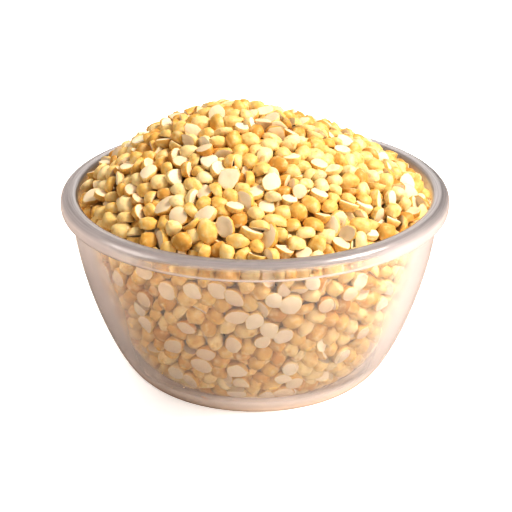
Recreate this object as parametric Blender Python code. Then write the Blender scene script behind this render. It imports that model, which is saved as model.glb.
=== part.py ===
"""A clear glass mixing bowl, heaped above its rim with roasted split chickpeas.

Two solids: the turned glass bowl, and the heap of split chickpeas in it. The heap is a core that fits the
bowl, with the halves that show on top fused to it at their true size. Metres, +Z up. The origin is the
middle of the bowl's foot, on the surface that the bowl stands on.
"""

import math
import random

import bmesh
import bpy
from mathutils import Matrix, Vector

MM = 0.001

# The bowl: 14 cm across and pressed from clear glass, with a thick bead for a rim
BOWL_RADIUS = 70.0 * MM
BOWL_HEIGHT = 68.0 * MM
BEAD_DEPTH = 6.6 * MM
BEAD_SHOULDER = 3.2 * MM
BEAD_INNER_ROUNDING = 2.0 * MM
BEAD_UNDERSIDE = 2.0 * MM
NECK_RADIUS = 66.0 * MM
MOUTH_RADIUS = 63.6 * MM
THROAT_RADIUS = 62.7 * MM
BASE_THICKNESS = 4.2 * MM
FOOT_RADIUS = 45.0 * MM
FOOT_RING_WIDTH = 10.0 * MM
FOOT_RECESS = 0.7 * MM
FLOOR_RADIUS = 42.0 * MM
OUTER_HEEL = (52.0 * MM, 1.0 * MM)
OUTER_UPRIGHT = (66.2 * MM, 40.8 * MM)
INNER_HEEL = (50.0 * MM, 5.6 * MM)
INNER_UPRIGHT = (62.2 * MM, 43.0 * MM)
BOWL_SIDES = 48
WALL_STEPS = 6

# The heap: its edge lies just under the lip, its peak a little to the left of the middle. Each ring of the
# mound is given as (share of the mouth's radius, corners).
GLASS_GAP = 0.45 * MM
EDGE_BELOW_LIP = 1.0 * MM
HEAP_PEAK = 94.2 * MM
PEAK_TO_THE_LEFT = 8.5 * MM
HEAP_ROUNDNESS = 1.75
BUMPS_ROUND_WALL = 30
WALL_ROWS = 11
BUMP_DEPTH = 0.9 * MM
MOUND_RINGS = ((0.78, 28), (0.55, 20), (0.3, 12))

# The split chickpeas: each has a flat oval face and a domed back
HALF_LENGTH = 7.0 * MM
HALF_WIDTH = 6.1 * MM
HALF_THICKNESS = 3.5 * MM
HALF_SIDES = 6
SHOULDER_HEIGHT = 0.65 * HALF_THICKNESS
SHOULDER_SHRINK = 0.8
HALF_COUNT = 268
CORE_BELOW_SURFACE = 2.2 * MM
SIZE_SPREAD = 0.12
ON_THEIR_FACE = 0.45
ON_THEIR_BACK = 0.3
MOST_LEAN = 30
SPIRAL_POWER = 0.455
SEED = 11


def clear_scene():
    for obj in list(bpy.data.objects):
        bpy.data.objects.remove(obj)


def make_material(name, colour, roughness, alpha=1.0):
    material = bpy.data.materials.new(name)
    material.use_nodes = True
    shader = material.node_tree.nodes["Principled BSDF"]
    shader.inputs["Base Color"].default_value = (*colour, 1.0)
    shader.inputs["Roughness"].default_value = roughness
    shader.inputs["Metallic"].default_value = 0.0
    shader.inputs["Alpha"].default_value = alpha
    return material


def add_object(name, mesh, material, collection):
    """A new object from a bmesh, which is used up."""
    data = bpy.data.meshes.new(name)
    mesh.to_mesh(data)
    mesh.free()
    data.materials.append(material)
    obj = bpy.data.objects.new(name, data)
    collection.objects.link(obj)
    return obj


def shade_round(obj):
    obj.data.shade_smooth()
    obj.data.set_sharp_from_angle(angle=math.radians(40))


def bezier(start, start_handle, end_handle, end, steps):
    """Points (radius, height) along a cubic curve."""
    a, b, c, d = (Vector(p) for p in (start, start_handle, end_handle, end))
    points = []
    for i in range(steps + 1):
        t = i / steps
        s = 1.0 - t
        points.append(a * s**3 + b * (3 * s * s * t) + c * (3 * s * t * t) + d * t**3)
    return points


def arc(centre, radius, start, end, steps):
    """Points (radius, height) round a corner, from one angle to another in degrees."""
    points = []
    for i in range(steps + 1):
        angle = math.radians(start + (end - start) * i / steps)
        points.append(Vector((centre[0] + radius * math.cos(angle), centre[1] + radius * math.sin(angle))))
    return points


def outer_wall():
    """From the foot out round the heel, and up to the neck under the bead."""
    foot = (FOOT_RADIUS, 0.0)
    neck = (NECK_RADIUS, BOWL_HEIGHT - BEAD_DEPTH)
    return bezier(foot, OUTER_HEEL, OUTER_UPRIGHT, neck, WALL_STEPS)


def inner_wall():
    """From the bowl's floor out round its heel, and up to the throat, level with the bead's underside."""
    floor = (FLOOR_RADIUS, BASE_THICKNESS)
    throat = (THROAT_RADIUS, BOWL_HEIGHT - BEAD_DEPTH)
    return bezier(floor, INNER_HEEL, INNER_UPRIGHT, throat, WALL_STEPS)


def bowl_profile():
    """The glass in section: from the middle of the foot out, up, over the bead, and back to the middle."""
    ring = FOOT_RADIUS - FOOT_RING_WIDTH
    under_foot = [Vector((0.0, FOOT_RECESS)), Vector((ring - FOOT_RECESS, FOOT_RECESS)), Vector((ring, 0.0))]
    underside = (BOWL_RADIUS - BEAD_UNDERSIDE, BOWL_HEIGHT - BEAD_DEPTH + BEAD_UNDERSIDE)
    shoulder = (BOWL_RADIUS - BEAD_SHOULDER, BOWL_HEIGHT - BEAD_SHOULDER)
    lip = (MOUTH_RADIUS + BEAD_INNER_ROUNDING, BOWL_HEIGHT - BEAD_INNER_ROUNDING)
    bead = (
        arc(underside, BEAD_UNDERSIDE, -90, 0, 2)
        + arc(shoulder, BEAD_SHOULDER, 0, 90, 4)
        + arc(lip, BEAD_INNER_ROUNDING, 90, 180, 2)
    )
    middle = Vector((0.0, BASE_THICKNESS))
    return under_foot + outer_wall() + bead + inner_wall()[::-1] + [middle]


def build_bowl(collection):
    """The profile turned about the upright axis through the middle."""
    mesh = bmesh.new()
    corners = [mesh.verts.new((point.x, 0.0, point.y)) for point in bowl_profile()]
    edges = [mesh.edges.new(pair) for pair in zip(corners, corners[1:])]
    bmesh.ops.spin(
        mesh,
        geom=corners + edges,
        cent=(0, 0, 0),
        axis=(0, 0, 1),
        angle=math.tau,
        steps=BOWL_SIDES,
        use_merge=True,
    )
    bmesh.ops.remove_doubles(mesh, verts=mesh.verts, dist=0.001 * MM)
    bmesh.ops.recalc_face_normals(mesh, faces=mesh.faces)
    glass = make_material("clear_pressed_glass", (0.82, 0.84, 0.84), 0.05, 0.35)
    shade_round(add_object("glass_bowl", mesh, glass, collection))


def heap_height(x, y):
    """The height of the heap's outer surface over a point of the bowl's mouth."""
    edge_radius = MOUTH_RADIUS - GLASS_GAP
    edge_height = BOWL_HEIGHT - EDGE_BELOW_LIP
    from_middle = min(1.0, math.hypot(x, y) / edge_radius)
    leaned = x + PEAK_TO_THE_LEFT * (1.0 - from_middle)
    outward = min(1.0, math.hypot(leaned, y) / edge_radius)
    return edge_height + (HEAP_PEAK - edge_height) * (1.0 - outward**HEAP_ROUNDNESS)


def core_height(x, y):
    return heap_height(x, y) - CORE_BELOW_SURFACE


def way_up(x, y):
    """The direction that points straight out of the heap's surface."""
    step = 0.5 * MM
    slope_x = (heap_height(x + step, y) - heap_height(x - step, y)) / (2 * step)
    slope_y = (heap_height(x, y + step) - heap_height(x, y - step)) / (2 * step)
    return Vector((-slope_x, -slope_y, 1.0)).normalized()


def evenly_spaced(points, count):
    """The same line of points, drawn again in steps of equal length."""
    lengths = [0.0]
    for a, b in zip(points, points[1:]):
        lengths.append(lengths[-1] + (b - a).length)
    spaced = []
    for i in range(count):
        target = lengths[-1] * i / count
        j = max(k for k in range(len(lengths) - 1) if lengths[k] <= target)
        share = (target - lengths[j]) / (lengths[j + 1] - lengths[j])
        spaced.append(points[j].lerp(points[j + 1], share))
    return spaced + [points[-1]]


def core_wall():
    """(radius, height) up the side of the core, a gap's width inside the glass, which leans out to its lip."""
    throat = inner_wall()[-1]
    lip = Vector((MOUTH_RADIUS, BOWL_HEIGHT - BEAD_INNER_ROUNDING))
    edge = throat.lerp(lip, (core_height(MOUTH_RADIUS, 0.0) - throat.y) / (lip.y - throat.y))
    line = evenly_spaced(inner_wall() + [edge], WALL_ROWS)
    wall = []
    for i, point in enumerate(line):
        along = line[min(i + 1, WALL_ROWS)] - line[max(i - 1, 0)]
        inward = Vector((-along.y, along.x)).normalized()
        wall.append(point + inward * GLASS_GAP)
    return wall


def circle(radius, sides):
    """Points (x, y) evenly round the axis."""
    angles = [math.tau * i / sides for i in range(sides)]
    return [Vector((radius * math.cos(angle), radius * math.sin(angle))) for angle in angles]


def add_ring(mesh, points):
    """A closed ring of edges through the points."""
    corners = [mesh.verts.new(point) for point in points]
    return [mesh.edges.new(pair) for pair in zip(corners, corners[1:] + corners[:1])]


def wall_ring(mesh, radius, height, row):
    """One row up the side of the core. Every other corner is drawn in, by turns from row to row, which
    leaves bumps about as large as a half against the glass."""
    points = circle(radius, 2 * BUMPS_ROUND_WALL)
    if 0 < row < WALL_ROWS:
        for point in points[row % 2::2]:
            point.length -= BUMP_DEPTH
    return add_ring(mesh, [(*point, height) for point in points])


def mound_ring(mesh, radius, sides):
    return add_ring(mesh, [(*point, core_height(*point)) for point in circle(radius, sides)])


def build_core(collection, material):
    """The heap without its halves: bumpy against the glass, and a plain mound above."""
    mesh = bmesh.new()
    rings = [wall_ring(mesh, *point, row) for row, point in enumerate(core_wall())]
    rings += [mound_ring(mesh, share * MOUTH_RADIUS, sides) for share, sides in MOUND_RINGS]
    for lower, upper in zip(rings, rings[1:]):
        bmesh.ops.bridge_loops(mesh, edges=lower + upper)
    bmesh.ops.contextual_create(mesh, geom=rings[0])
    top = bmesh.ops.contextual_create(mesh, geom=rings[-1])["faces"]
    peak = bmesh.ops.poke(mesh, faces=top)["verts"][0]
    peak.co.z = core_height(peak.co.x, peak.co.y)
    bmesh.ops.recalc_face_normals(mesh, faces=mesh.faces)
    return add_object("split_chickpea_heap", mesh, material, collection)


def half_chickpea():
    """One half about its own middle, flat face down and domed back up."""
    mesh = bmesh.new()
    bmesh.ops.create_circle(mesh, cap_ends=True, segments=HALF_SIDES, radius=0.5)
    bmesh.ops.scale(mesh, vec=(HALF_LENGTH, HALF_WIDTH, 1.0), verts=mesh.verts)
    raised = bmesh.ops.extrude_face_region(mesh, geom=mesh.faces[:])["geom"]
    shoulder = [item for item in raised if isinstance(item, bmesh.types.BMVert)]
    back = [item for item in raised if isinstance(item, bmesh.types.BMFace)]
    bmesh.ops.translate(mesh, vec=(0.0, 0.0, SHOULDER_HEIGHT), verts=shoulder)
    bmesh.ops.scale(mesh, vec=(SHOULDER_SHRINK, SHOULDER_SHRINK, 1.0), verts=shoulder)
    crown = bmesh.ops.poke(mesh, faces=back)["verts"][0]
    crown.co.z = HALF_THICKNESS
    bmesh.ops.translate(mesh, vec=(0.0, 0.0, -HALF_THICKNESS / 2), verts=mesh.verts)
    bmesh.ops.recalc_face_normals(mesh, faces=mesh.faces)
    return mesh


def tilt_of(draw):
    """How far one half is tipped, in degrees: lying on its face, on its back, or standing on its edge."""
    lie = draw.random()
    if lie < ON_THEIR_FACE:
        upright = 0
    elif lie < ON_THEIR_FACE + ON_THEIR_BACK:
        upright = 180
    else:
        upright = 90
    return upright + draw.uniform(-MOST_LEAN, MOST_LEAN)


def place_of(x, y, draw):
    """Where a half lies on the slope, how it is turned, and its own length, width and thickness."""
    up = way_up(x, y)
    spot = Vector((x, y, heap_height(x, y))) - up * (HALF_THICKNESS / 2)
    onto_slope = Vector((0.0, 0.0, 1.0)).rotation_difference(up).to_matrix().to_4x4()
    turn = Matrix.Rotation(draw.uniform(0.0, math.tau), 4, "Z")
    tip = Matrix.Rotation(math.radians(tilt_of(draw)), 4, "X")
    size = Matrix.Diagonal([1.0 + draw.uniform(-SIZE_SPREAD, SIZE_SPREAD) for _ in range(3)] + [1.0])
    return Matrix.Translation(spot) @ onto_slope @ turn @ tip @ size


def keep_off_glass(mesh, x, y):
    """Moves a half that would reach the bowl up the slope, towards the middle."""
    furthest = max(mesh.verts, key=lambda corner: corner.co.xy.length).co.xy
    excess = furthest.length - THROAT_RADIUS
    if excess > 0:
        inward = -furthest.normalized() * excess
        lift = heap_height(x + inward.x, y + inward.y) - heap_height(x, y)
        bmesh.ops.translate(mesh, vec=(inward.x, inward.y, lift), verts=mesh.verts)


def place_halves(material):
    """Halves over the whole mound, on a spiral that spaces them evenly."""
    collection = bpy.data.collections.new("halves")
    bpy.context.scene.collection.children.link(collection)
    draw = random.Random(SEED)
    golden_angle = math.pi * (3.0 - math.sqrt(5.0))
    reach = MOUTH_RADIUS - HALF_WIDTH / 2
    for i in range(HALF_COUNT):
        radius = reach * ((i + 0.5) / HALF_COUNT) ** SPIRAL_POWER
        angle = i * golden_angle
        x, y = radius * math.cos(angle), radius * math.sin(angle)
        mesh = half_chickpea()
        bmesh.ops.transform(mesh, matrix=place_of(x, y, draw), verts=mesh.verts)
        keep_off_glass(mesh, x, y)
        add_object("half", mesh, material, collection)
    return collection


def fuse(core, halves):
    """One union of the core and all its halves, which are then removed."""
    union = core.modifiers.new("halves", "BOOLEAN")
    union.operation = "UNION"
    union.operand_type = "COLLECTION"
    union.collection = halves
    union.solver = "EXACT"
    with bpy.context.temp_override(object=core, active_object=core):
        bpy.ops.object.modifier_apply(modifier=union.name)
    for half in list(halves.objects):
        bpy.data.objects.remove(half)
    bpy.data.collections.remove(halves)


def connected_corners(start):
    """All the corners that edges join to one corner."""
    found = {start}
    waiting = [start]
    while waiting:
        for edge in waiting.pop().link_edges:
            for corner in edge.verts:
                if corner not in found:
                    found.add(corner)
                    waiting.append(corner)
    return found


def keep_largest_shell(obj):
    """Fills the hollows that the union sealed, and drops loose scraps."""
    mesh = bmesh.new()
    mesh.from_mesh(obj.data)
    shells = []
    left = set(mesh.verts)
    while left:
        shell = connected_corners(next(iter(left)))
        shells.append(shell)
        left -= shell
    largest = max(shells, key=len)
    bmesh.ops.delete(mesh, geom=[v for v in mesh.verts if v not in largest], context="VERTS")
    mesh.to_mesh(obj.data)
    mesh.free()


def build_heap(collection):
    pulses = make_material("split_chickpea", (0.84, 0.60, 0.24), 0.6)
    heap = build_core(collection, pulses)
    fuse(heap, place_halves(pulses))
    keep_largest_shell(heap)
    shade_round(heap)


def main():
    clear_scene()
    collection = bpy.context.scene.collection
    build_bowl(collection)
    build_heap(collection)


main()
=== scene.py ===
import math

import bpy
import numpy as np
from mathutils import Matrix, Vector


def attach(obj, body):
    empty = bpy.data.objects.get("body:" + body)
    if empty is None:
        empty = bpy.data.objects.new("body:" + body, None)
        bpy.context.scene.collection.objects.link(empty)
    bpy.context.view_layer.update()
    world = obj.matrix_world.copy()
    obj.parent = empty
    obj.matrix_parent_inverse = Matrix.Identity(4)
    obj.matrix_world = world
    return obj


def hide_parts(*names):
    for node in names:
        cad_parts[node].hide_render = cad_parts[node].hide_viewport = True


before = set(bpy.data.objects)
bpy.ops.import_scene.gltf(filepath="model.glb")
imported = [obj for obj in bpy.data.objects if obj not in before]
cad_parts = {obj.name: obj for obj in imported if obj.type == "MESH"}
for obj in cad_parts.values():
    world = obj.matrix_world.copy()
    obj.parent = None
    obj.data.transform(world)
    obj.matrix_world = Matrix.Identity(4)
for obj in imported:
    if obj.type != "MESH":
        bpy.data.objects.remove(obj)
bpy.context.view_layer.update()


# ---------------------------------------------------------------------------------------------------
# The bowl: a 14 cm mixing bowl of clear soda-lime glass, pressed in a mould and fire polished. Its wall is
# 4 mm thick and follows the outside down to the foot, and its rim is one thick solid bead.

MM = 0.001


def sharp(out, up):
    """A corner of the section, as (point, handle before it, handle after it)."""
    point = Vector((out, up))
    return [(point, point, point)]


def rounded(corner, before, after):
    """A quarter round in the section, which leaves the sides of a corner at two points."""
    corner, before, after = Vector(corner), Vector(before), Vector(after)
    round_pull = 0.552      # the handle that makes a cubic curve a quarter of a circle
    return [(before, before, before.lerp(corner, round_pull)), (after, after.lerp(corner, round_pull), after)]


def swept(start, pull_out, pull_up, end):
    """A long curve of the wall, from one end to the other."""
    start, pull_out, pull_up, end = (Vector(p) for p in (start, pull_out, pull_up, end))
    return [(start, start, pull_out), (end, pull_up, end)]


# The section in millimetres, from the axis and above the table: under the foot, up the outside, over the
# bead and down the inside
rim_radius, rim_height, ledge_height = 70.0, 68.0, 61.4
neck_radius, throat_radius, mouth_radius = 66.0, 62.7, 63.6
foot_radius, ring_radius, recess = 45.0, 35.0, 0.7
floor_radius, floor_height = 42.0, 4.2
underside, shoulder, lip, crease = 2.0, 3.2, 2.0, 0.4
outer_heel, outer_upright = (52.0, 1.0), (66.2, 40.8)
inner_heel, inner_upright = (50.0, 5.6), (62.2, 43.0)
inside_curve = (floor_radius, floor_height), inner_heel, inner_upright, (throat_radius, ledge_height)
section = (
    sharp(0.0, recess)
    + sharp(ring_radius - recess, recess)
    + sharp(ring_radius, 0.0)
    + swept((foot_radius, 0.0), outer_heel, outer_upright, (neck_radius, ledge_height - crease))
    + sharp(neck_radius + crease, ledge_height)
    + rounded(
        (rim_radius, ledge_height),
        (rim_radius - underside, ledge_height),
        (rim_radius, ledge_height + underside),
    )
    + rounded(
        (rim_radius, rim_height),
        (rim_radius, rim_height - shoulder),
        (rim_radius - shoulder, rim_height),
    )
    + rounded(
        (mouth_radius, rim_height),
        (mouth_radius + lip, rim_height),
        (mouth_radius, rim_height - lip),
    )
    + swept(*reversed(inside_curve))
    + sharp(0.0, floor_height)
)
steps_a_curve, steps_round = 14, 160

bpy.ops.object.select_all(action="DESELECT")
bpy.ops.curve.primitive_bezier_curve_add(location=(0.0, 0.0, 0.0))
bowl = bpy.context.object
bowl.name = "pressed_glass_bowl"
drawn = bowl.data.splines[0]
drawn.bezier_points.add(len(section) - len(drawn.bezier_points))
for knot, corner in zip(drawn.bezier_points, section):
    knot.handle_left_type = knot.handle_right_type = "FREE"
    knot.co, knot.handle_left, knot.handle_right = (Vector((p.x * MM, 0.0, p.y * MM)) for p in corner)
bowl.data.resolution_u = steps_a_curve
bpy.ops.object.convert(target="MESH")
bowl = bpy.context.object
bpy.ops.object.mode_set(mode="EDIT")
bpy.ops.mesh.select_all(action="SELECT")
bpy.ops.mesh.remove_doubles(threshold=0.02 * MM)
bpy.ops.mesh.spin(steps=steps_round, angle=math.tau, center=(0.0, 0.0, 0.0), axis=(0.0, 0.0, 1.0))
bpy.ops.mesh.select_all(action="SELECT")
bpy.ops.mesh.remove_doubles(threshold=0.005 * MM)
bpy.ops.mesh.normals_make_consistent(inside=False)
bpy.ops.object.mode_set(mode="OBJECT")
bpy.ops.object.shade_smooth_by_angle(angle=math.radians(35))


def linear(hex_colour):
    """An sRGB colour such as "E8B450" as the linear RGBA that a shader takes."""
    parts = [int(hex_colour[i:i + 2], 16) / 255 for i in (0, 2, 4)]
    return [p / 12.92 if p <= 0.04045 else ((p + 0.055) / 1.055) ** 2.4 for p in parts] + [1.0]


def new_material(name):
    """An empty material, and its node tree."""
    material = bpy.data.materials.new(name)
    material.use_nodes = True
    material.node_tree.nodes.clear()
    return material, material.node_tree


def add(tree, kind, sockets=None, **settings):
    """A node with its settings, each socket given a value or the output that feeds it. A Mix node's sockets
    share their names, so they go by number: 0 is the share, 2 and 3 are two values, 6 and 7 two colours."""
    node = tree.nodes.new(kind)
    for name, value in settings.items():
        setattr(node, name, value)
    for name, value in (sockets or {}).items():
        if isinstance(value, bpy.types.NodeSocket):
            tree.links.new(value, node.inputs[name])
        else:
            node.inputs[name].default_value = value
    return node


# Clear soda-lime glass, pressed and fire polished. Wherever one looks along the wall it shows a greyish pink
# haze, which the lamps light: painted reflection, standing in for the grey room that clear glass mirrors and
# shows at a glance. The foot's haze is warmer, and the top of the bead is painted the greyest.
glass, tree = new_material("clear_pressed_soda_lime_glass")

# Faint ripples from the mould, drawn out upwards
where = add(tree, "ShaderNodeTexCoord").outputs["Object"]
upright = add(tree, "ShaderNodeMapping", {"Vector": where, "Scale": (1.0, 1.0, 0.25)}).outputs["Vector"]
ripple_width = 14 * MM
ripples = add(tree, "ShaderNodeTexNoise", {"Vector": upright, "Scale": 1 / ripple_width, "Detail": 1.0})
waviness = add(
    tree, "ShaderNodeBump", {"Height": ripples.outputs["Fac"], "Strength": 0.5, "Distance": 0.10 * MM}
)
height = add(tree, "ShaderNodeSeparateXYZ", {"Vector": where}).outputs["Z"]


def by_height(low, high, at_low, at_high):
    """A value that changes between two heights in millimetres above the table."""
    sockets = {
        "Value": height,
        "From Min": low * MM,
        "From Max": high * MM,
        "To Min": at_low,
        "To Max": at_high,
    }
    return add(tree, "ShaderNodeMapRange", sockets).outputs["Result"]


# How clear the glass is: most where one looks straight through it, and less along the wall and at the foot
low_on_wall, high_on_wall = 8.0, 40.0
along_the_wall = add(tree, "ShaderNodeLayerWeight", {"Blend": 0.5}).outputs["Facing"]
wall_clearness = add(
    tree,
    "ShaderNodeMapRange",
    {
        "Value": along_the_wall,
        "From Min": by_height(low_on_wall, high_on_wall, 0.58, 0.42),
        "From Max": by_height(low_on_wall, high_on_wall, 0.88, 0.76),
        "To Min": 0.94,
        "To Max": by_height(low_on_wall, high_on_wall, 0.4, 0.2),
    },
    interpolation_type="SMOOTHSTEP",
)
bead_clearness = add(
    tree,
    "ShaderNodeMapRange",
    {"Value": along_the_wall, "From Min": 0.12, "From Max": 0.42, "To Min": 0.96, "To Max": 0.25},
    interpolation_type="SMOOTHSTEP",
)
side_clearness = add(
    tree,
    "ShaderNodeMix",
    {
        0: by_height(ledge_height - 0.5, ledge_height, 0.0, 1.0),
        2: wall_clearness.outputs["Result"],
        3: bead_clearness.outputs["Result"],
    },
)
foot_clearness = by_height(low=3, high=10, at_low=0.25, at_high=1.0)
wall_and_foot = add(
    tree, "ShaderNodeMath", {0: side_clearness.outputs[0], 1: foot_clearness}, operation="MULTIPLY"
)
above_foot = by_height(low=2, high=9, at_low=0.0, at_high=1.0)
# The haze's colour: greyish pink along the wall, a painted reflection of a grey room, and warmer at the foot
fog = add(
    tree,
    "ShaderNodeMix",
    {0: above_foot, 6: linear("E2CCB6"), 7: linear("C8BCB9")},
    data_type="RGBA",
)
# Between these heights the top of the bead turns less clear and painted grey, as painted reflection
painted_grey_from, painted_grey_to = rim_height - 2.6, rim_height - 1.0
top_clearness = by_height(painted_grey_from, painted_grey_to, 1.0, 0.45)
clearness = add(
    tree, "ShaderNodeMath", {0: wall_and_foot.outputs["Value"], 1: top_clearness}, operation="MULTIPLY"
)
foggy = add(
    tree,
    "ShaderNodeMix",
    {0: clearness.outputs["Value"], 6: fog.outputs[2], 7: linear("F5F2F0")},
    data_type="RGBA",
)

# The top of the bead is satin and less clear, and painted grey with fine painted streaks that run round it:
# painted reflection of a dark room, which a clear bead would mirror and bend
along_rim, across_rim = 30 * MM, 0.5 * MM
level_place = add(tree, "ShaderNodeMapping", {"Vector": where, "Scale": (1 / along_rim, 1 / along_rim, 0.0)})
radius = add(tree, "ShaderNodeVectorMath", {0: level_place.outputs["Vector"]}, operation="LENGTH")
ringed = add(
    tree, "ShaderNodeMath", {0: radius.outputs["Value"], 1: along_rim / across_rim}, operation="MULTIPLY"
)
rings = add(tree, "ShaderNodeCombineXYZ", {"Z": ringed.outputs["Value"]})
streak_place = add(
    tree,
    "ShaderNodeVectorMath",
    {0: level_place.outputs["Vector"], 1: rings.outputs["Vector"]},
    operation="ADD",
)
painted_streaks = add(
    tree, "ShaderNodeTexNoise", {"Vector": streak_place.outputs["Vector"], "Scale": 1.0, "Detail": 2.0}
)
painted_reflection_grey = add(
    tree,
    "ShaderNodeMix",
    {0: painted_streaks.outputs["Fac"], 6: linear("918B8B"), 7: linear("C4BDBB")},
    data_type="RGBA",
)
on_top = by_height(painted_grey_from, painted_grey_to, 0.0, 1.0)
glass_colour = add(
    tree, "ShaderNodeMix", {0: on_top, 6: foggy.outputs[2], 7: painted_reflection_grey.outputs[2]}, data_type="RGBA"
)
dull_from, dull_to = rim_height - 4.2, rim_height - 2.2
polish = by_height(dull_from, dull_to, 0.02, 0.23)
clear = add(
    tree,
    "ShaderNodeBsdfPrincipled",
    {
        "Base Color": glass_colour.outputs[2],
        "Roughness": polish,
        "IOR": 1.52,
        "Transmission Weight": clearness.outputs["Value"],
        "Normal": waviness.outputs["Normal"],
    },
)
add(tree, "ShaderNodeOutputMaterial", {"Surface": clear.outputs["BSDF"]})
bowl.data.materials.clear()
bowl.data.materials.append(glass)
bowl.visible_shadow = False     # or the halves behind the glass come out too dark
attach(bowl, "root")
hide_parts("glass_bowl")


# ---------------------------------------------------------------------------------------------------
# The heap's own core: the halves that never show, as one body of the same heap. It lies about two halves in
# from the glass and three from the top, and shows only as the dark between them.

# The mound's form in millimetres: how high it lies against the rim and at its peak, and how far left that is
heap_edge, heap_peak, peak_to_the_left, heap_roundness = 67.0, 97.5, 10.5, 1.55
packed_depth = 9.0


def heap_height(x, y):
    """The height of the heap's surface over a point of the mouth, in millimetres."""
    from_middle = np.minimum(1.0, np.hypot(x, y) / mouth_radius)
    outward = np.minimum(1.0, np.hypot(x + peak_to_the_left * (1.0 - from_middle), y) / mouth_radius)
    return heap_edge + (heap_peak - heap_edge) * (1.0 - outward**heap_roundness)


def way_up(x, y):
    """The direction straight out of the heap's surface, over each point."""
    step = 0.5
    slope_x = (heap_height(x + step, y) - heap_height(x - step, y)) / (2 * step)
    slope_y = (heap_height(x, y + step) - heap_height(x, y - step)) / (2 * step)
    up = np.stack([-slope_x, -slope_y, np.ones_like(x)], axis=-1)
    return up / np.linalg.norm(up, axis=-1, keepdims=True)


def inside_of_glass(floor_steps, curve_steps, neck_steps, lip_steps):
    """Points up the inside of the bowl, from the middle of its floor to the top of its lip, and at each
    the direction away from the glass."""
    start, heel, upright_pull, end = (np.array(p) for p in inside_curve)
    t = np.linspace(0.0, 1.0, curve_steps)[:, None]
    s = 1.0 - t
    curve = s**3 * start + 3 * s * s * t * heel + 3 * s * t * t * upright_pull + t**3 * end
    floor = np.linspace((0.0, floor_height), start, floor_steps, endpoint=False)
    neck = np.linspace(end, (mouth_radius, rim_height - lip), neck_steps)[1:]
    turn = np.linspace(0.0, math.pi / 2, lip_steps)[1:]
    middle = (mouth_radius + lip, rim_height - lip)
    rounding = np.column_stack([middle[0] - lip * np.cos(turn), middle[1] + lip * np.sin(turn)])
    line = np.vstack([floor, curve, neck, rounding])
    along = np.gradient(line, axis=0)
    along /= np.linalg.norm(along, axis=1)[:, None]
    return line, np.column_stack([-along[:, 1], along[:, 0]])


wall_line, wall_inward = inside_of_glass(floor_steps=16, curve_steps=60, neck_steps=5, lip_steps=7)


def off_the_glass(points):
    """How far each point is from the bowl's inner surface, and the way in from the glass there."""
    out = np.hypot(points[:, 0], points[:, 1])
    flat = np.column_stack([out, points[:, 2]]).astype(np.float32)
    line = wall_line.astype(np.float32)
    squared = (flat[:, :1] - line[None, :, 0]) ** 2 + (flat[:, 1:] - line[None, :, 1]) ** 2
    nearest = squared.argmin(1)
    inward = wall_inward[nearest]
    distance = ((flat - wall_line[nearest]) * inward).sum(1)
    round_axis = points[:, :2] / np.maximum(out, 1e-6)[:, None]
    return distance, np.column_stack([round_axis * inward[:, :1], inward[:, 1]])


# A ball is given the form of the bowl's inside below the rim, where it soon widens, and of the mound above
# it. The last four values are in packed depths: below each level, off the bowl's floor, and under the mound
# for the lower and the upper half of the ball.
widening, below_level, off_floor, under_side, under_mound = 1.6, 0.4, 0.8, 1.3, 1.15
bpy.ops.object.select_all(action="DESELECT")
bpy.ops.mesh.primitive_uv_sphere_add(segments=72, ring_count=48, radius=1.0)
core = bpy.context.object
core.name = "inside_of_heap"
for corner in core.data.vertices:
    spread = math.hypot(corner.co.x, corner.co.y) or 1.0
    if corner.co.z < 0:
        level = rim_height + (rim_height - floor_height) * corner.co.z
        side = np.interp(level, wall_line[:, 1], wall_line[:, 0]) - packed_depth
        reach = side * min(1.0, spread * widening)
    else:
        reach = (mouth_radius - packed_depth) * spread
    x, y = corner.co.x / spread * reach, corner.co.y / spread * reach
    if corner.co.z < 0:
        z = max(level - packed_depth * below_level, floor_height + packed_depth * off_floor)
        z = min(z, float(heap_height(x, y)) - under_side * packed_depth)
    else:
        z = float(heap_height(x, y)) - under_mound * packed_depth
    corner.co = Vector((x, y, z)) * MM
bpy.ops.object.shade_smooth()

# Split chickpeas in the shade of others, painted as one warm brown with lumps of a half's size: painted shade
# over the same dry golden backs.
dark, tree = new_material("shaded_split_chickpeas")
lump_size = 6 * MM
where = add(tree, "ShaderNodeTexCoord").outputs["Object"]
lumps = add(tree, "ShaderNodeTexVoronoi", {"Vector": where, "Scale": 1 / lump_size})
shade = add(tree, "ShaderNodeValToRGB", {"Fac": lumps.outputs["Distance"]})
shade.color_ramp.elements[0].color = linear("A85A1E")
shade.color_ramp.elements[1].color = linear("6E2E0C")
shade.color_ramp.elements[1].position = 0.75
body = add(tree, "ShaderNodeBsdfPrincipled", {"Base Color": shade.outputs["Color"], "Roughness": 0.8})
add(tree, "ShaderNodeOutputMaterial", {"Surface": body.outputs["BSDF"]})
core.data.materials.append(dark)
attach(core, "root")
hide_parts("split_chickpea_heap")


# ---------------------------------------------------------------------------------------------------
# The split chickpeas: dried, husked and split in two, then dry roasted. Each half has a flat cream face
# and a smooth golden back. Six patterns are modelled, and each is copied over the heap.

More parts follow.
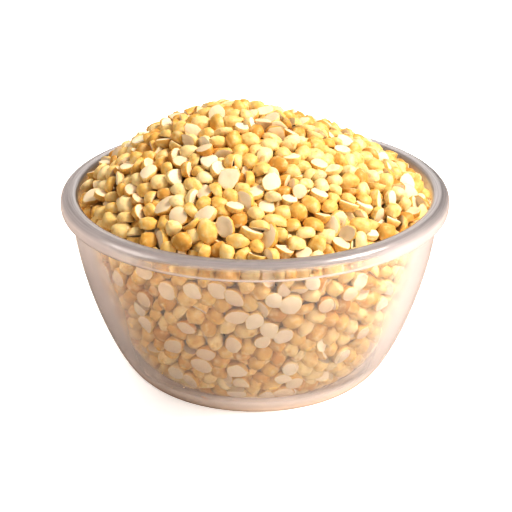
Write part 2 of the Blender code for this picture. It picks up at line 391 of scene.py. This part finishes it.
def model_half(
    length, width, thickness, beak=0.0, hollow=0.0, broken=None, lumps=0.0, boxy=0.0, boat=0.0, seed=0.0
):
    """One half in millimetres about its own middle, its flat face down and its length along X. Gives its
    corners, its faces, and for each corner whether it is on a cut or broken face. The other values give a
    ball of radius 1 a beak, a dished face, a broken end, an uneven or squarish form, or slim ends."""
    bpy.ops.object.select_all(action="DESELECT")
    bpy.ops.mesh.primitive_uv_sphere_add(segments=12, ring_count=8, radius=1.0)
    half = bpy.context.object
    edge_depth, face_depth, just_under, dish_radius = 0.10, 0.15, 0.01, 0.6
    edge_width, dish_border, break_border, break_slant = 0.08, 0.45, 0.07, (1, 0.3, 0.3)
    fuller_sides, fuller_back, beak_narrowing = 0.2, 0.8, 0.45
    bpy.ops.object.mode_set(mode="EDIT")
    bpy.ops.mesh.select_all(action="SELECT")
    bpy.ops.transform.rotate(value=math.radians(15), orient_axis="Z", center_override=(0, 0, 0))
    bpy.ops.mesh.bisect(plane_co=(0, 0, -edge_depth), plane_no=(0, 0, 1), clear_inner=True, use_fill=True)
    bpy.ops.mesh.inset(thickness=edge_width)
    bpy.ops.transform.translate(value=(0, 0, edge_depth - face_depth))
    if hollow:
        bpy.ops.mesh.inset(thickness=dish_border)
    if broken is not None:
        bpy.ops.mesh.select_all(action="SELECT")
        bpy.ops.mesh.bisect(plane_co=(broken, 0, 0), plane_no=break_slant, clear_outer=True, use_fill=True)
        bpy.ops.mesh.inset(thickness=break_border)
    bpy.ops.object.mode_set(mode="OBJECT")
    cut_from = -edge_depth - just_under
    cut = np.array([1.0 if corner.co.z < cut_from else 0.0 for corner in half.data.vertices])
    if broken is not None:
        for face in half.data.polygons:
            if face.select:
                cut[list(face.vertices)] = 1.0
    corners = np.empty(len(half.data.vertices) * 3)
    half.data.vertices.foreach_get("co", corners)
    x, y, z = corners.reshape(-1, 3).T
    fuller = np.where(z > 0, np.maximum(np.hypot(x, y), 1e-6) ** -fuller_sides, 1.0)
    x, y = x * fuller, y * fuller
    uneven = 1.0 + lumps * np.sin(2.3 * x + 3.1 * y + seed) * np.cos(2.7 * z - 1.9 * x + 2 * seed)
    uneven *= 1.0 + boxy * np.cos(4 * np.arctan2(y, x) + seed)
    pointed = np.maximum(x, 0.0)
    slim = 1.0 - boat * x * x
    in_face = (z < cut_from) & (np.hypot(x, y) < dish_radius)
    risen = np.where(z > 0, np.maximum(z, 0.0) ** fuller_back, z) + np.where(in_face, hollow, 0.0)
    shape = np.column_stack([
        x * (1.0 + beak * pointed**3) * uneven * length / 2,
        y * (1.0 - beak_narrowing * beak * pointed) * slim * uneven * width / 2,
        ((risen + face_depth) / (1.0 + face_depth) - 0.5) * thickness * np.where(z > 0, uneven, 1.0),
    ])
    faces = [list(face.vertices) for face in half.data.polygons]
    bpy.data.objects.remove(half)
    return shape, faces, cut


patterns = {
    "plump_halves": model_half(6.8, 6.3, 3.4, lumps=0.09, beak=0.04, boxy=0.02),
    "oval_halves": model_half(7.6, 6.0, 3.2, lumps=0.09, beak=0.08, boat=0.12, seed=1.0),
    "beaked_halves": model_half(7.1, 6.1, 3.3, lumps=0.11, beak=0.24, seed=2.0),
    "hollow_halves": model_half(7.1, 6.3, 3.1, lumps=0.10, beak=0.10, hollow=0.18, boxy=0.04, seed=3.0),
    "wrinkled_halves": model_half(7.0, 5.9, 3.2, lumps=0.15, beak=0.12, hollow=0.05, boxy=0.03, seed=4.0),
    "broken_halves": model_half(7.2, 6.1, 3.2, lumps=0.08, broken=0.35, seed=5.0),
}
share_of_patterns = {
    "plump_halves": 0.25,
    "oval_halves": 0.24,
    "beaked_halves": 0.18,
    "hollow_halves": 0.14,
    "wrinkled_halves": 0.12,
    "broken_halves": 0.07,
}

# Where they lie. Layers are laid out evenly against the glass and over the mound, each half then gets its
# own tilt and size, and all are shaken until hardly any sinks into another, the glass or the core.
draw = np.random.default_rng(5)
golden_angle = math.pi * (3.0 - math.sqrt(5.0))


def across(directions):
    """Two directions square to each one and to each other."""
    nearly_upright = 0.9
    helper = np.where(np.abs(directions[:, 2:]) < nearly_upright, [[0.0, 0.0, 1.0]], [[1.0, 0.0, 0.0]])
    first = np.cross(helper, directions)
    first /= np.linalg.norm(first, axis=1, keepdims=True)
    return first, np.cross(directions, first)


def tipped(directions, degrees):
    """Each direction tipped by its own angle, to a random side."""
    first, second = across(directions)
    turn = draw.uniform(0, math.tau, len(directions))[:, None]
    lean = np.radians(degrees)[:, None]
    return directions * np.cos(lean) + (first * np.cos(turn) + second * np.sin(turn)) * np.sin(lean)


def lying(count, on_face, on_back, spread):
    """Angles for halves that lie on their face or on their back, or stand on their edge."""
    kind = draw.random(count)
    angle = np.where(kind < on_face, 0.0, np.where(kind < on_face + on_back, 180.0, 90.0))
    return angle + draw.normal(0.0, spread, count)


def along_the_glass(depth, room):
    """A layer against the bowl: places that far in from the glass, and the way out from each."""
    past_ledge = 2.0
    below_lip = wall_line[:, 1] < ledge_height + past_ledge
    line, inward = wall_line[below_lip], wall_inward[below_lip]
    steps = np.linalg.norm(np.diff(line, axis=0), axis=1)
    area = np.concatenate([[0.0], np.cumsum(math.pi * (line[1:, 0] + line[:-1, 0]) * steps)])
    count = int(area[-1] / room)
    spread = (np.arange(count) + 0.5) / count * area[-1]
    radius, height = (np.interp(spread, area, line[:, i]) for i in (0, 1))
    in_r, in_z = (np.interp(spread, area, inward[:, i]) for i in (0, 1))
    angle = np.arange(count) * golden_angle
    round_axis = np.column_stack([np.cos(angle), np.sin(angle)])
    place = np.column_stack([round_axis * (radius + in_r * depth)[:, None], height + in_z * depth])
    return place, -np.column_stack([round_axis * in_r[:, None], in_z])


def over_the_mound(depth, room):
    """A layer under the heap's surface: places that far down, and the way up from each."""
    slope_area, crowding, off_lip, narrowing = 14700.0, 0.455, 1.3, 0.35
    count = int(slope_area / room)
    radius = (mouth_radius - off_lip - narrowing * depth) * ((np.arange(count) + 0.5) / count) ** crowding
    angle = np.arange(count) * golden_angle + depth
    x, y = radius * np.cos(angle), radius * np.sin(angle)
    up = way_up(x, y)
    return np.column_stack([x, y, heap_height(x, y)]) - up * depth, up


# Each layer's depth in millimetres, the square millimetres for one half in it and, against the glass, by
# how many degrees they lean about. On the mound they lie nearly level, and hardly follow its slope.
glass_layers = ((2.1, 31.0, 26.0), (6.1, 35.0, 50.0))
mound_layers = ((1.7, 29.5), (4.9, 31.0), (8.0, 34.0))
share_of_slope, share_of_level = 0.1, (0.0, 0.0, 0.9)
places, backs, on_mound = [], [], []
for depth, room, spread in glass_layers:
    place, outward = along_the_glass(depth, room)
    places.append(place)
    backs.append(tipped(-outward, lying(len(place), on_face=0.15, on_back=0.5, spread=spread)))
    on_mound.append(np.zeros(len(place), bool))
for depth, room in mound_layers:
    place, up = over_the_mound(depth, room)
    places.append(place)
    level = share_of_slope * up + share_of_level
    level /= np.linalg.norm(level, axis=1)[:, None]
    backs.append(tipped(level, lying(len(place), on_face=0.40, on_back=0.18, spread=17.0)))
    on_mound.append(np.ones(len(place), bool))
places, backs, on_mound = np.vstack(places), np.vstack(backs), np.concatenate(on_mound)
first, second = across(backs)
spin = draw.uniform(0, math.tau, len(backs))[:, None]
along_half = first * np.cos(spin) + second * np.sin(spin)
across_half = second * np.cos(spin) - first * np.sin(spin)
turns = np.stack([along_half, across_half, backs], axis=2)
whole_spread, side_spread, smallest, largest = 0.075, 0.05, 0.8, 1.2
whole_size = draw.normal(1.0, whole_spread, (len(places), 1))
sizes = (whole_size + draw.normal(0.0, side_spread, (len(places), 3))).clip(smallest, largest)

# Seven balls stand for one half while it is shaken: one under the back, and six round the flat face
half_length, half_width, half_thickness = 7.0, 6.1, 3.3
back_ball, face_ball, ring_share, in_ring = 1.7, 1.22, 0.31, 6
ring = np.arange(in_ring) * math.tau / in_ring
face_balls = np.column_stack([
    ring_share * half_length * np.cos(ring),
    ring_share * half_width * np.sin(ring),
    np.full(in_ring, face_ball - half_thickness / 2),
])
balls = np.vstack([[0.0, 0.0, half_thickness / 2 - back_ball], face_balls])
ball_places = balls[None] * sizes[:, None]
ball_sizes = np.array([back_ball] + [face_ball] * in_ring)[None] * sizes.mean(1)[:, None]
hard_to_turn = (ball_places**2).sum((1, 2))


def neighbours(centres, reach):
    """Pairs of halves that are near enough to touch."""
    pairs = []
    block = 500
    for start in range(0, len(centres), block):
        gap = ((centres[start:start + block, None] - centres[None]) ** 2).sum(2)
        first, second = np.nonzero(gap < reach * reach)
        first += start
        pairs.append(np.column_stack([first, second])[first < second])
    return np.vstack(pairs)


def pushed_apart(spots, pairs):
    """For each ball, the push it gets from the balls of other halves, and how many touch it."""
    halves, count = spots.shape[:2]
    one, other = (m.ravel() for m in np.meshgrid(np.arange(count), np.arange(count), indexing="ij"))
    apart = spots[pairs[:, 0]][:, one] - spots[pairs[:, 1]][:, other]
    squared = (apart * apart).sum(2)
    reach = ball_sizes[pairs[:, 0]][:, one] + ball_sizes[pairs[:, 1]][:, other]
    pair, combination = np.nonzero(squared < reach * reach)
    distance = np.sqrt(squared[pair, combination])
    overlap = reach[pair, combination] - distance
    shove = apart[pair, combination] * (0.5 * overlap / np.maximum(distance, 1e-3))[:, None]
    first = pairs[pair, 0] * count + one[combination]
    second = pairs[pair, 1] * count + other[combination]
    total = halves * count
    push = np.column_stack([
        np.bincount(first, shove[:, i], total) - np.bincount(second, shove[:, i], total) for i in range(3)
    ])
    return push, np.bincount(first, minlength=total) + np.bincount(second, minlength=total)


def pushed_by_walls(spots, radii, push, touching):
    """Adds the push of the glass from outside, of the core from inside, and of the heap's form from above."""
    above_form, over_core, gently = 1.0, 1.0, 0.5
    clearance, inward = off_the_glass(spots)
    sunk = radii - clearance
    hit = sunk > 0
    push[hit] += inward[hit] * sunk[hit, None]
    touching[hit] += 1
    up = way_up(spots[:, 0], spots[:, 1])
    below = (heap_height(spots[:, 0], spots[:, 1]) - spots[:, 2]) * up[:, 2]
    proud = -below + radii - above_form
    lifted = proud > 0
    push[lifted] -= up[lifted] * gently * proud[lifted, None]
    past_side = clearance - (packed_depth - radii)
    past_top = below - (packed_depth + over_core - radii)
    in_core = (past_side > 0) & (past_top > 0)
    upward = in_core & (past_top < past_side)
    outward = in_core & ~upward
    push[upward] += up[upward] * past_top[upward, None]
    push[outward] -= inward[outward] * past_side[outward, None]
    touching[in_core] += 1


def rotations(turn):
    """Rotation matrices for small turns given as axis times angle."""
    angle = np.linalg.norm(turn, axis=1)
    x, y, z = (turn / np.maximum(angle, 1e-9)[:, None]).T
    zero = np.zeros_like(x)
    cross = np.stack([zero, -z, y, z, zero, -x, -y, x, zero], axis=1).reshape(-1, 3, 3)
    sine, cosine = np.sin(angle)[:, None, None], np.cos(angle)[:, None, None]
    return np.eye(3) + sine * cross + (1 - cosine) * (cross @ cross)


# At each shake a half moves a little further than its balls are pushed, turns a little less, and settles
# inwards by less and less. A ball that several others touch gets only a share of each push.
shakes = 100
touching_reach, found_again_after = 7.8, 8
share_power, stride, swing, most_turn = 0.7, 1.25, 0.9, 0.25
first_settle, down_the_mound = 0.1, 0.7
for shake in range(shakes):
    if shake % found_again_after == 0:
        pairs = neighbours(places, touching_reach)
    arms = np.einsum("nij,nkj->nki", turns, ball_places)
    spots = places[:, None] + arms
    push, touching = pushed_apart(spots, pairs)
    pushed_by_walls(spots.reshape(-1, 3), ball_sizes.ravel(), push, touching)
    push = (push / np.maximum(touching, 1)[:, None] ** share_power).reshape(arms.shape)
    touched = (touching.reshape(arms.shape[:2]) > 0).sum(1)
    places = places + push.sum(1) / np.maximum(touched, 2)[:, None] * stride
    turn = np.cross(arms, push).sum(1) / hard_to_turn[:, None] * swing
    turn *= np.minimum(1.0, most_turn / np.maximum(np.linalg.norm(turn, axis=1), 1e-9))[:, None]
    turns = rotations(turn) @ turns
    settle = first_settle * (1.0 - shake / shakes)
    inward = off_the_glass(places)[1]
    up = way_up(places[:, 0], places[:, 1])
    places -= np.where(on_mound[:, None], down_the_mound * up, inward) * settle

# Halves that are left in the glass are moved out of it. Each is measured as if it were an oval one, so a few
# corners of the other patterns still reach into the wall, by about half a millimetre at the most.
least_gap, nudges = 0.08, 3
outline = patterns["oval_halves"][0]
for _ in range(nudges):
    corners = np.einsum("nij,nkj->nki", turns, outline[None] * sizes[:, None]) + places[:, None]
    clearance, inward = off_the_glass(corners.reshape(-1, 3))
    clearance = clearance.reshape(corners.shape[:2])
    worst = clearance.argmin(1)
    every = np.arange(len(places))
    short = np.maximum(0.0, least_gap - clearance[every, worst])
    places += inward.reshape(corners.shape)[every, worst] * short[:, None]

# Dry roasted split chickpea: a hard satin golden back, wrinkled, dusty and a little scorched, and a matt,
# mealy cream face. Each half has its own tint and its own stretch of the patterns. Real wrinkles are under
# a millimetre wide. They are drawn at two millimetres, as finer ones would hardly show.
pulse, tree = new_material("dry_roasted_split_chickpea")
own_place = add(tree, "ShaderNodeAttribute", attribute_name="own_place").outputs["Vector"]
cut = add(tree, "ShaderNodeAttribute", attribute_name="cut").outputs["Fac"]
tint = add(tree, "ShaderNodeAttribute", attribute_name="tint").outputs["Fac"]
on_face = add(tree, "ShaderNodeMapRange", {"Value": cut, "From Min": 0.4, "From Max": 0.7}).outputs["Result"]
back_colour = add(tree, "ShaderNodeValToRGB", {"Fac": tint})
ramp = back_colour.color_ramp
ramp.elements[0].color, ramp.elements[1].color = linear("F2E0B2"), linear("D09C4E")
ramp.elements.new(0.3).color = linear("EED08E")
ramp.elements.new(0.75).color = linear("E5BC6A")
face_colour = add(tree, "ShaderNodeValToRGB", {"Fac": tint})
ramp = face_colour.color_ramp
ramp.elements[0].color, ramp.elements[1].color = linear("F3E7CE"), linear("E9D4B4")
mottle_size = 2.6 * MM
mottle = add(tree, "ShaderNodeTexNoise", {"Vector": own_place, "Scale": 1 / mottle_size, "Detail": 3.0})
dusty = add(
    tree,
    "ShaderNodeMapRange",
    {"Value": mottle.outputs["Fac"], "From Min": 0.5, "From Max": 0.72, "To Max": 0.7},
)
scorched = add(
    tree,
    "ShaderNodeMapRange",
    {"Value": mottle.outputs["Fac"], "From Min": 0.44, "From Max": 0.28, "To Max": 0.6},
)
toasted = add(
    tree,
    "ShaderNodeMix",
    {0: scorched.outputs["Result"], 6: back_colour.outputs["Color"], 7: linear("CF9A48")},
    data_type="RGBA",
)
dusted = add(
    tree,
    "ShaderNodeMix",
    {0: dusty.outputs["Result"], 6: toasted.outputs[2], 7: linear("F1E0B4")},
    data_type="RGBA",
)
colour = add(
    tree,
    "ShaderNodeMix",
    {0: on_face, 6: dusted.outputs[2], 7: face_colour.outputs["Color"]},
    data_type="RGBA",
)
wrinkle_size = 2.0 * MM
wrinkles = add(tree, "ShaderNodeTexNoise", {"Vector": own_place, "Scale": 1 / wrinkle_size, "Detail": 3.0})
wrinkling = add(tree, "ShaderNodeMapRange", {"Value": on_face, "To Min": 0.9, "To Max": 0.4})
relief = add(
    tree,
    "ShaderNodeBump",
    {"Height": wrinkles.outputs["Fac"], "Strength": wrinkling.outputs["Result"], "Distance": 0.35 * MM},
)
gloss = add(tree, "ShaderNodeMapRange", {"Value": on_face, "To Min": 0.5, "To Max": 0.75})
dry = add(
    tree,
    "ShaderNodeBsdfPrincipled",
    {
        "Base Color": colour.outputs[2],
        "Roughness": gloss.outputs["Result"],
        "Normal": relief.outputs["Normal"],
        "Subsurface Weight": 0.15,
        "Subsurface Radius": (1.0, 0.5, 0.2),
        "Subsurface Scale": 1.2 * MM,
    },
)
add(tree, "ShaderNodeOutputMaterial", {"Surface": dry.outputs["BSDF"]})


def strew(name, pattern, chosen):
    """One mesh of a pattern's copies, each at its place, turn and size, with its own tint and texture."""
    corners, faces, cut = pattern
    copies, furthest = len(chosen), 1000.0
    scaled = corners[None] * sizes[chosen][:, None]
    at = (np.einsum("nij,nkj->nki", turns[chosen], scaled) + places[chosen][:, None]) * MM
    own = (scaled + draw.uniform(0.0, furthest, (copies, 1, 3))) * MM
    lengths = np.tile([len(face) for face in faces], copies)
    loops = (np.concatenate(faces)[None] + np.arange(copies)[:, None] * len(corners)).ravel()
    mesh = bpy.data.meshes.new(name)
    mesh.vertices.add(copies * len(corners))
    mesh.vertices.foreach_set("co", at.astype(np.float32).ravel())
    mesh.loops.add(len(loops))
    mesh.loops.foreach_set("vertex_index", loops.astype(np.int32))
    mesh.polygons.add(len(lengths))
    mesh.polygons.foreach_set("loop_start", (np.cumsum(lengths) - lengths).astype(np.int32))
    mesh.update(calc_edges=True)
    mesh.validate()
    for attribute, kind, values in (
        ("cut", "FLOAT", np.tile(cut, copies)),
        ("tint", "FLOAT", np.repeat(draw.random(copies), len(corners))),
        ("own_place", "FLOAT_VECTOR", own.ravel()),
    ):
        field = "vector" if kind == "FLOAT_VECTOR" else "value"
        mesh.attributes.new(attribute, kind, "POINT").data.foreach_set(field, values.astype(np.float32))
    mesh.materials.append(pulse)
    piece = bpy.data.objects.new(name, mesh)
    bpy.context.scene.collection.objects.link(piece)
    bpy.ops.object.select_all(action="DESELECT")
    piece.select_set(True)
    bpy.context.view_layer.objects.active = piece
    bpy.ops.object.shade_smooth_by_angle(angle=math.radians(50))
    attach(piece, "root")
    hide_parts("split_chickpea_heap")


# Every half is dealt a pattern at random, and the copies of one pattern make one piece
dealt = draw.choice(len(patterns), len(places), p=list(share_of_patterns.values()))
for number, (name, pattern) in enumerate(patterns.items()):
    strew(name, pattern, np.nonzero(dealt == number)[0])


# ---------------------------------------------------------------------------------------------------
# The studio: a white table and background, a soft key lamp to the upper right, weaker lamps to the left, low
# in front and behind, and the camera where the photograph was taken from. The glass is lit apart from the
# food, as its haze would burn out in the key light: the key lamp misses it, and four cards reach it alone.

bpy.ops.object.select_all(action="DESELECT")
bpy.ops.mesh.primitive_plane_add(size=6.0, location=(0.0, 0.0, -0.2 * MM))
table = bpy.context.object
table.name = "studio_floor"

# White acrylic, matt, which the camera sees as bright as the background. It throws little light back up, so
# that the shaded side of the food stays dark.
acrylic, tree = new_material("white_acrylic_table")
seen = add(tree, "ShaderNodeLightPath").outputs["Is Camera Ray"]
lit = add(
    tree,
    "ShaderNodeBsdfPrincipled",
    {
        "Base Color": linear("FAFAFA"),
        "Roughness": 0.9,
        "Emission Color": linear("FFFFFF"),
        "Emission Strength": 0.45,
    },
)
dim = add(tree, "ShaderNodeBsdfDiffuse", {"Color": linear("BAAEA6")})
either = add(tree, "ShaderNodeMixShader", {0: seen, 1: dim.outputs["BSDF"], 2: lit.outputs["BSDF"]})
add(tree, "ShaderNodeOutputMaterial", {"Surface": either.outputs["Shader"]})
table.data.materials.append(acrylic)

# The room is white to the camera, and to the object brighter above and to the right
world = bpy.data.worlds.new("white_room")
bpy.context.scene.world = world
world.use_nodes = True
tree = world.node_tree
tree.nodes.clear()
way = add(tree, "ShaderNodeTexCoord").outputs["Generated"]
brightest_way = (0.6, 0.0, 0.8)
lean = add(tree, "ShaderNodeVectorMath", {0: way, 1: brightest_way}, operation="DOT_PRODUCT")
dim_side = add(
    tree,
    "ShaderNodeMapRange",
    {"Value": lean.outputs["Value"], "From Min": -0.8, "From Max": 0.9, "To Min": 0.16, "To Max": 0.52},
)
seen = add(tree, "ShaderNodeLightPath").outputs["Is Camera Ray"]
strength = add(tree, "ShaderNodeMix", {0: seen, 2: dim_side.outputs["Result"], 3: 1.0})
room = add(tree, "ShaderNodeBackground", {"Color": linear("FFFFFF"), "Strength": strength.outputs[0]})
add(tree, "ShaderNodeOutputWorld", {"Surface": room.outputs["Background"]})


def add_lamp(name, place, aim, size, watts, colour, height=None, mirrored=True):
    """A square soft lamp, or an oblong one where it has a height too. Glass and gloss mirror it or don't."""
    bpy.ops.object.light_add(type="AREA", location=place)
    lamp = bpy.context.object
    lamp.name = name
    lamp.data.size = size
    if height is not None:
        lamp.data.shape = "RECTANGLE"
        lamp.data.size_y = height
    lamp.data.energy = watts
    lamp.data.color = linear(colour)[:3]
    lamp.rotation_euler = (Vector(aim) - Vector(place)).to_track_quat("-Z", "Y").to_euler()
    lamp.visible_glossy = mirrored
    return lamp


upper_right, upper_left, low_in_front = (0.55, -0.1, 0.75), (-0.7, -0.15, 0.5), (0.5, -0.85, 0.04)
behind_left, behind, low_right = (-0.3, 0.9, 0.25), (0.03, 0.8, 0.38), (0.62, -0.58, 0.04)
heap_middle, bowl_middle, rim_middle = (0.0, 0.0, 0.06), (0.0, 0.0, 0.03), (0.0, 0.0, rim_height * MM)
warm, faintly_warm, nearly_white, whitest = "FFF1E4", "FFFAF2", "FFFAF6", "FFFAF8"

key = add_lamp("key_softbox", upper_right, heap_middle, 0.3, 10.0, faintly_warm)
add_lamp("left_softbox", upper_left, heap_middle, 0.2, 2.3, warm, mirrored=False)
add_lamp("front_fill", low_in_front, bowl_middle, 0.5, 2.6, nearly_white, height=0.07, mirrored=False)
add_lamp("back_fill", behind_left, heap_middle, 0.3, 3.0, nearly_white, mirrored=False)
not_on_bowl = bpy.data.collections.new("not_lit_by_key")
not_on_bowl.objects.link(bowl)
not_on_bowl.collection_objects[0].light_linking.link_state = "EXCLUDE"
key.light_linking.receiver_collection = not_on_bowl

# The cards for the glass: two that only light its haze or only mirror in it, and two that do both
key_card = add_lamp("key_card", upper_right, heap_middle, 0.3, 12.0, faintly_warm)
key_card.visible_diffuse = False
left_card = add_lamp("left_card", upper_left, heap_middle, 0.4, 4.2, whitest)
back_card = add_lamp("back_card", behind, rim_middle, 0.4, 1.2, whitest, height=0.42)
margin_card = add_lamp("margin_card", low_right, bowl_middle, 0.4, 14.5, nearly_white, mirrored=False)
on_bowl_alone = bpy.data.collections.new("lit_by_cards")
on_bowl_alone.objects.link(bowl)
for card in (key_card, left_card, back_card, margin_card):
    card.light_linking.receiver_collection = on_bowl_alone
    card.visible_transmission = False

# The camera: half a metre away, looking down at the bowl through a long lens
camera_distance, camera_height_angle, sensor_width, lens = 0.520, math.radians(24.33), 36.0, 98.8
aim = Vector((0.00037, 0.0, 0.03975))
bpy.ops.object.camera_add()
camera = bpy.context.object
back = Vector((0.0, -math.cos(camera_height_angle), math.sin(camera_height_angle)))
camera.location = aim + back * camera_distance
camera.rotation_euler = (-back).to_track_quat("-Z", "Y").to_euler()
camera.data.sensor_width = sensor_width
camera.data.lens = lens
camera.data.clip_start = 0.01
bpy.context.scene.camera = camera
bpy.context.scene.view_settings.view_transform = "Standard"
bpy.context.scene.view_settings.gamma = 0.75
